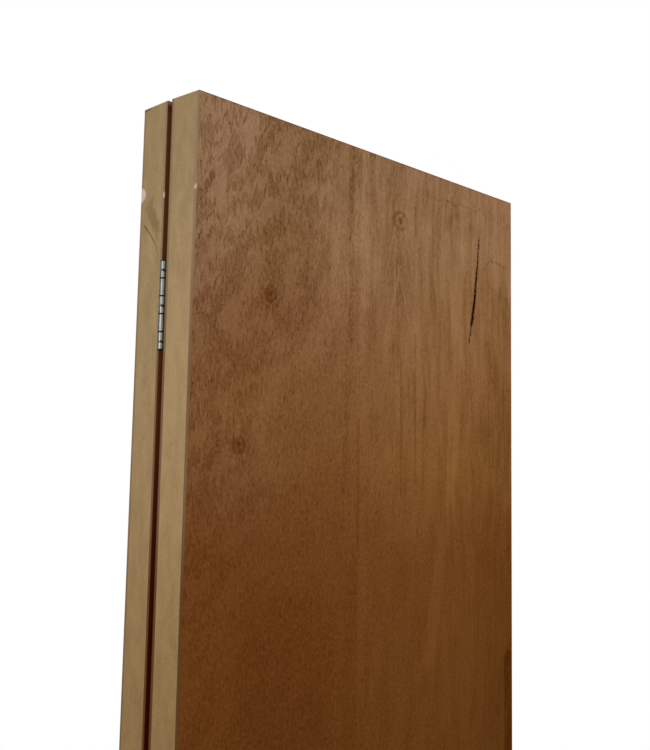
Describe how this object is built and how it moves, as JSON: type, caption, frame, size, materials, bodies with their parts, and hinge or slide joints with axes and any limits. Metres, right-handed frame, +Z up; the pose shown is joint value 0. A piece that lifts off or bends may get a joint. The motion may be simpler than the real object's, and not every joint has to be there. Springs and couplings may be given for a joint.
{
  "type": "bi-fold door",
  "caption": "Flush hollow-core bi-fold door unit: two veneered leaves folded face to face, joined at their edges by rolled butt hinges, bored for pivots.",
  "frame": {"origin": "middle of the hung leaf's bottom end, in the middle of its width and thickness", "axes": "+Z up, +X from the hinge edges to the free edges, +Y from the hung leaf's outer face through both leaves"},
  "size_m": [0.4545, 0.0754, 2.007],
  "materials": {
    "veneer_skin": "satin red-brown veneer",
    "stile_board": "bare tan fibreboard",
    "zinc_hinge": "bright zinc plate",
    "hinge_pin": "bright zinc plate"
  },
  "bodies": {
    "root": {"hung_leaf_inner_skin": "veneer_skin", "hung_leaf_outer_skin": "veneer_skin", "hung_leaf_hinge_stile": "stile_board", "hung_leaf_free_stile": "stile_board", "hung_leaf_bottom_rail": "stile_board", "hung_leaf_top_rail": "stile_board", "lead_leaf_inner_skin": "veneer_skin", "lead_leaf_outer_skin": "veneer_skin", "lead_leaf_hinge_stile": "stile_board", "lead_leaf_free_stile": "stile_board", "lead_leaf_bottom_rail": "stile_board", "lead_leaf_top_rail": "stile_board", "lower_hinge_pin": "hinge_pin", "lower_hinge_hung_plate": "zinc_hinge", "lower_hinge_lead_plate": "zinc_hinge", "middle_hinge_pin": "hinge_pin", "middle_hinge_hung_plate": "zinc_hinge", "middle_hinge_lead_plate": "zinc_hinge", "upper_hinge_pin": "hinge_pin", "upper_hinge_hung_plate": "zinc_hinge", "upper_hinge_lead_plate": "zinc_hinge"}
  },
  "joints": []
}
